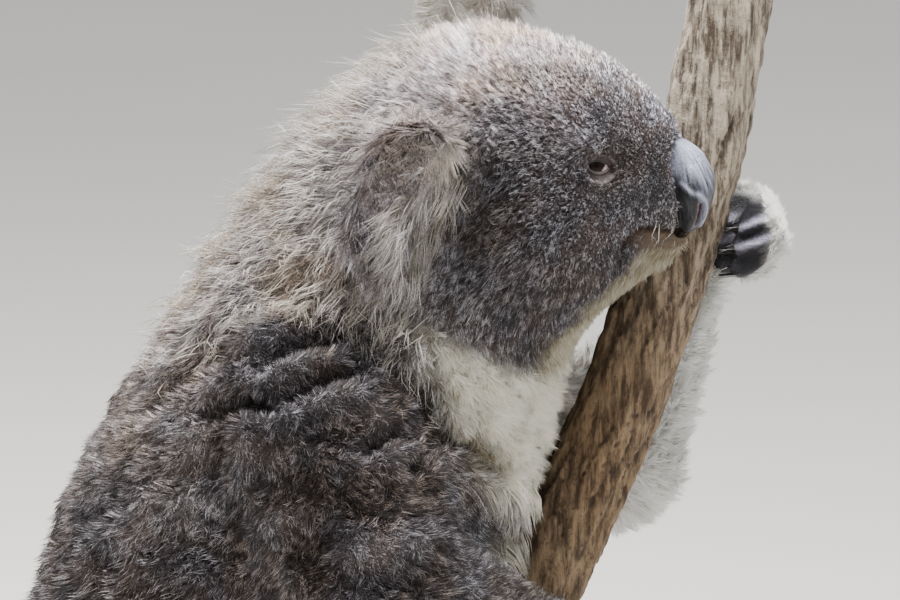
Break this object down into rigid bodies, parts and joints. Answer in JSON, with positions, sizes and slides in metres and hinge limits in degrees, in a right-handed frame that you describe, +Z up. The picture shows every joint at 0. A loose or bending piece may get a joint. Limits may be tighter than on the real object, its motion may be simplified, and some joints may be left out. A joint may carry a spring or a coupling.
{
  "type": "koala",
  "caption": "Life-size koala hugging a cut length of a leaning tree stem, head turned to its right, on a plain wooden base with a short steel rod.",
  "frame": {"origin": "middle of the underside of the stand's base", "axes": "+X the way the koala faces, +Y its left, +Z up"},
  "size_m": [0.4307, 0.3139, 0.6954],
  "materials": {
    "grey_coat": "dense woolly grey-brown fur",
    "pale_coat": "dense woolly cream-white fur",
    "nose_skin": "bare slate-grey skin, finely wrinkled, satin",
    "eyeball": "wet, glossy dark brown",
    "claw_horn": "polished dark horn",
    "bark": "rough dry bark",
    "stained_wood": "dark stained, satin",
    "steel": "brushed"
  },
  "bodies": {
    "root": {"perch_stem": "bark", "stand_base": "stained_wood", "stand_rod": "steel", "eye_left": "eyeball", "eye_right": "eyeball", "nose": "nose_skin", "claw_hand_left_1": "claw_horn", "claw_hand_left_2": "claw_horn", "claw_hand_left_3": "claw_horn", "claw_hand_left_4": "claw_horn", "claw_hand_left_5": "claw_horn", "hand_left": "grey_coat", "claw_hand_right_1": "claw_horn", "claw_hand_right_2": "claw_horn", "claw_hand_right_3": "claw_horn", "claw_hand_right_4": "claw_horn", "claw_hand_right_5": "claw_horn", "hand_right": "grey_coat", "claw_foot_left_1": "claw_horn", "claw_foot_left_2": "claw_horn", "claw_foot_left_3": "claw_horn", "claw_foot_left_4": "claw_horn", "foot_left": "grey_coat", "claw_foot_right_1": "claw_horn", "claw_foot_right_2": "claw_horn", "claw_foot_right_3": "claw_horn", "claw_foot_right_4": "claw_horn", "foot_right": "grey_coat", "head": "grey_coat", "lower_jaw": "pale_coat", "neck": "grey_coat", "chest": "pale_coat", "belly": "grey_coat", "rump": "grey_coat", "ear_left": "pale_coat", "ear_right": "pale_coat", "upper_arm_left": "grey_coat", "forearm_left": "grey_coat", "upper_arm_right": "grey_coat", "forearm_right": "grey_coat", "thigh_left": "grey_coat", "shank_left": "grey_coat", "thigh_right": "grey_coat", "shank_right": "grey_coat"}
  },
  "joints": []
}
